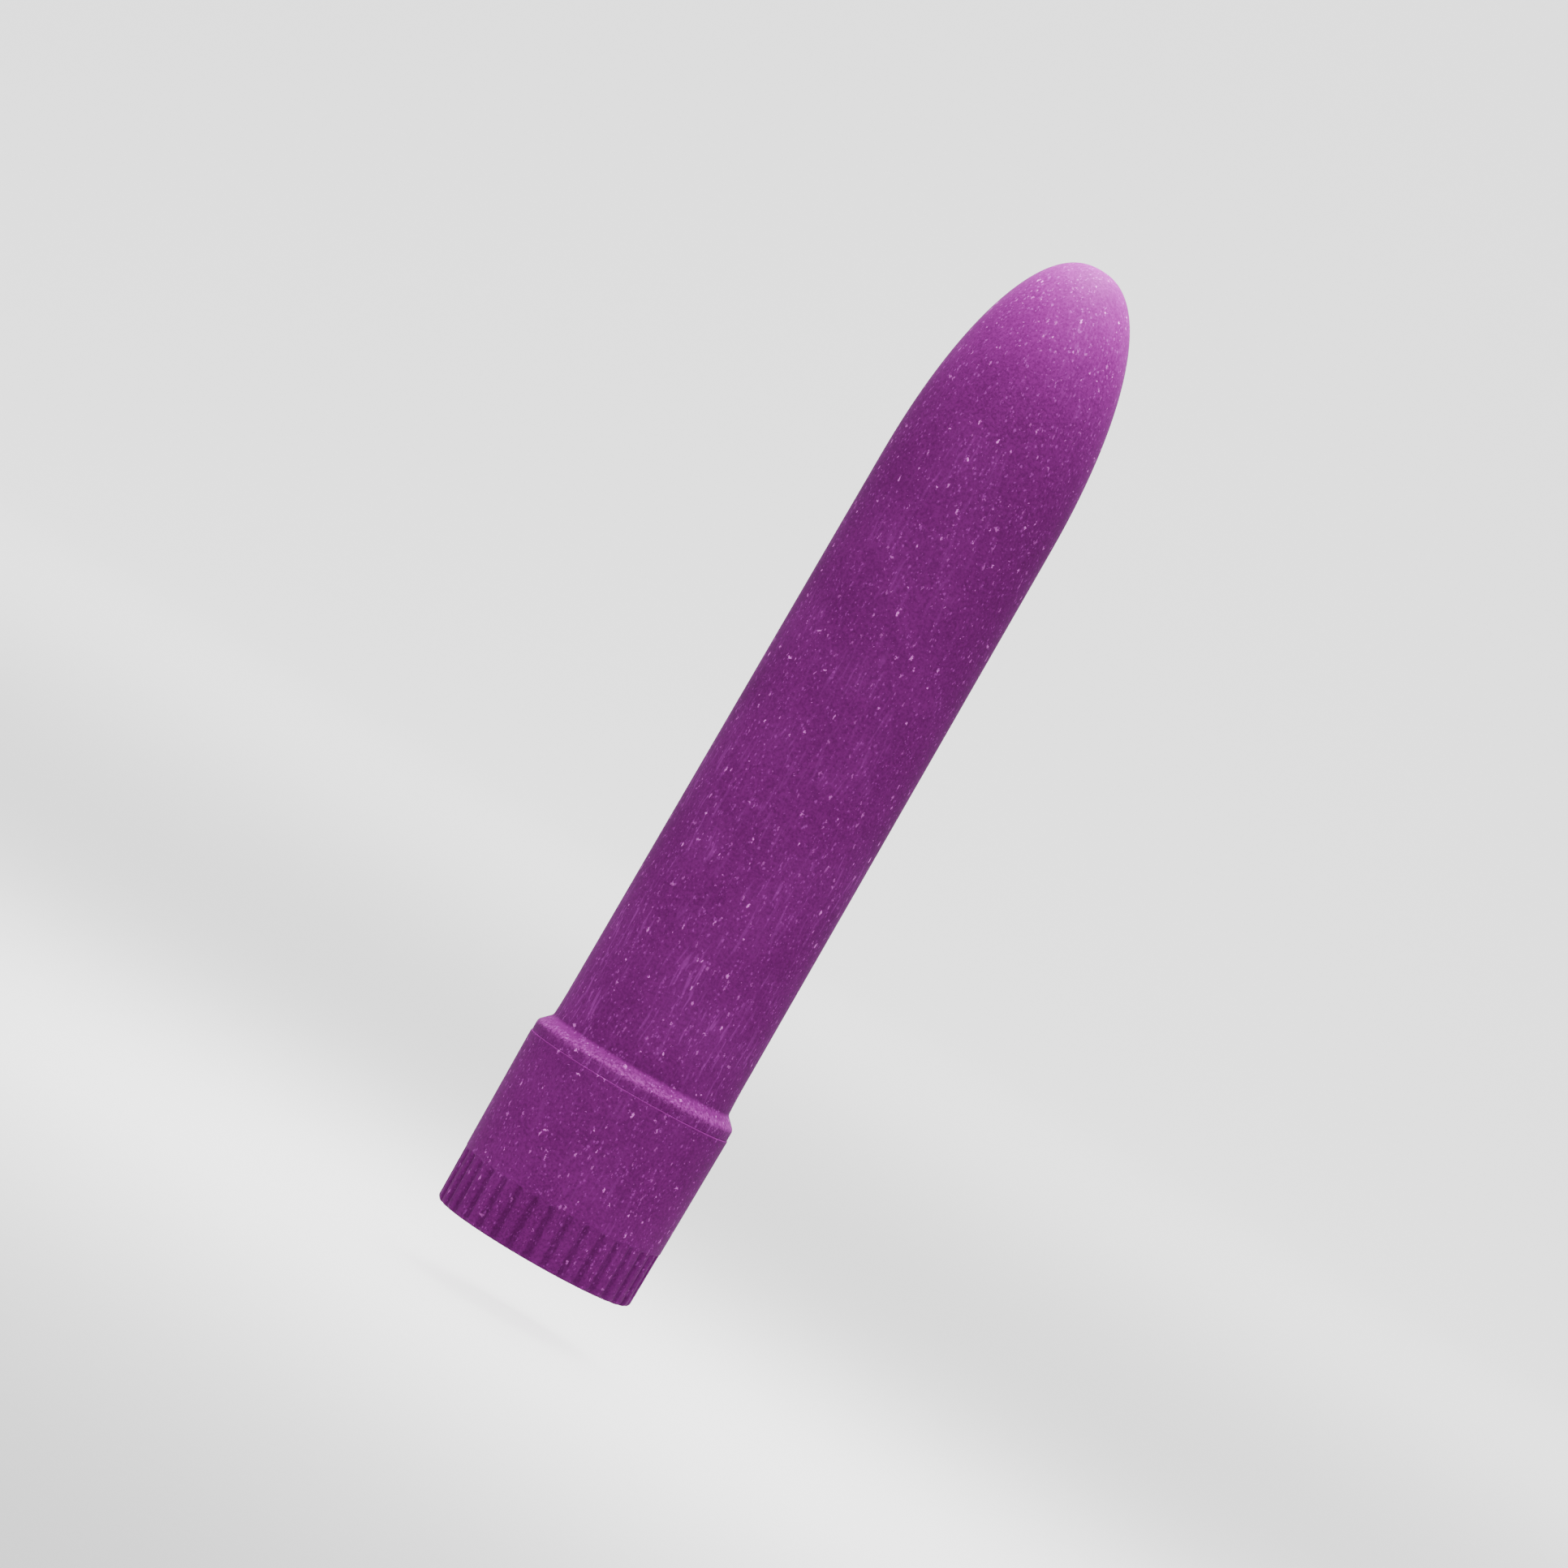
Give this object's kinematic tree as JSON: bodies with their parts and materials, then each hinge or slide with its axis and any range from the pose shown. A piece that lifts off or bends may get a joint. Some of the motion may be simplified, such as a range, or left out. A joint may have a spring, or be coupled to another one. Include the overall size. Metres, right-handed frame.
{
  "type": "personal massager",
  "caption": "Slim battery massager: rounded nose, straight barrel, rolled shoulder and a ribbed twist cap over two cells and a vibration motor.",
  "frame": {"origin": "centre of the flat base the object stands on", "axes": "+Z along the axis toward the rounded tip; +X and +Y across it"},
  "size_m": [0.0356, 0.0356, 0.178],
  "materials": {
    "casing_plastic": "satin",
    "cap_plastic": "satin",
    "white_plastic": "matte",
    "ivory_plastic": "matte",
    "black_plastic": "matte",
    "resistance_track": "satin",
    "contact_brass": "satin",
    "rivet_brass": "satin",
    "commutator_brass": "polished",
    "bush_bronze": "satin",
    "enamel_wire": "gloss",
    "spring_steel": "satin",
    "cell_steel": "satin",
    "nub_steel": "polished",
    "motor_steel": "satin",
    "shaft_steel": "polished",
    "lamination_steel": "satin",
    "weight_steel": "satin",
    "magnet": "matte",
    "cell_mix": "matte",
    "cell_sleeve": "gloss",
    "red_insulation": "satin",
    "black_insulation": "satin"
  },
  "bodies": {
    "casing_body": {"casing": "casing_plastic", "side_strip": "contact_brass", "cell_rear_can": "cell_steel", "cell_rear_core": "cell_mix", "cell_rear_sleeve": "cell_sleeve", "cell_rear_nub": "nub_steel", "cell_rear_seal": "black_plastic", "cell_front_can": "cell_steel", "cell_front_core": "cell_mix", "cell_front_sleeve": "cell_sleeve", "cell_front_nub": "nub_steel", "cell_front_seal": "black_plastic", "bulkhead": "ivory_plastic", "front_contact": "contact_brass", "front_rivet": "rivet_brass", "motor_mount": "ivory_plastic", "motor_can": "motor_steel", "motor_end": "white_plastic", "motor_magnets": "magnet", "motor_bushes": "bush_bronze", "motor_brushes": "contact_brass", "motor_terminals": "contact_brass", "positive_lead": "red_insulation", "negative_lead": "black_insulation"},
    "rotor": {"motor_shaft": "shaft_steel", "armature_core": "lamination_steel", "armature_winding": "enamel_wire", "commutator": "commutator_brass", "eccentric_weight": "weight_steel"},
    "spring_body": {"contact_spring": "spring_steel"},
    "carrier_body": {"carrier": "white_plastic", "resistance_ring": "resistance_track", "contact_ring": "contact_brass", "spring_plate": "contact_brass", "carrier_rivet": "rivet_brass"},
    "cap_body": {"twist_cap": "cap_plastic", "wiper": "contact_brass", "wiper_rivets": "rivet_brass"}
  },
  "joints": [
    {"name": "weight_spin", "type": "hinge", "parent": "casing_body", "child": "rotor", "pos_m": [0, 0, 0.14], "axis": [0, 0, 1], "continuous": true},
    {"name": "cap_travel", "type": "slide", "parent": "casing_body", "child": "spring_body", "axis": [0, 0, -1], "range_m": [0, 0.0101]},
    {"name": "cap_unscrew", "type": "hinge", "parent": "spring_body", "child": "carrier_body", "pos_m": [0, 0, 0], "axis": [0, 0, -1], "range_deg": [0, 1200]},
    {"name": "speed_dial_turn", "type": "hinge", "parent": "carrier_body", "child": "cap_body", "pos_m": [0, 0, 0], "axis": [0, 0, -1], "range_deg": [0, 300]}
  ],
  "couplings": [
    {"joint": "cap_travel", "follows": "cap_unscrew", "m_per_rad": 0.00047746}
  ]
}
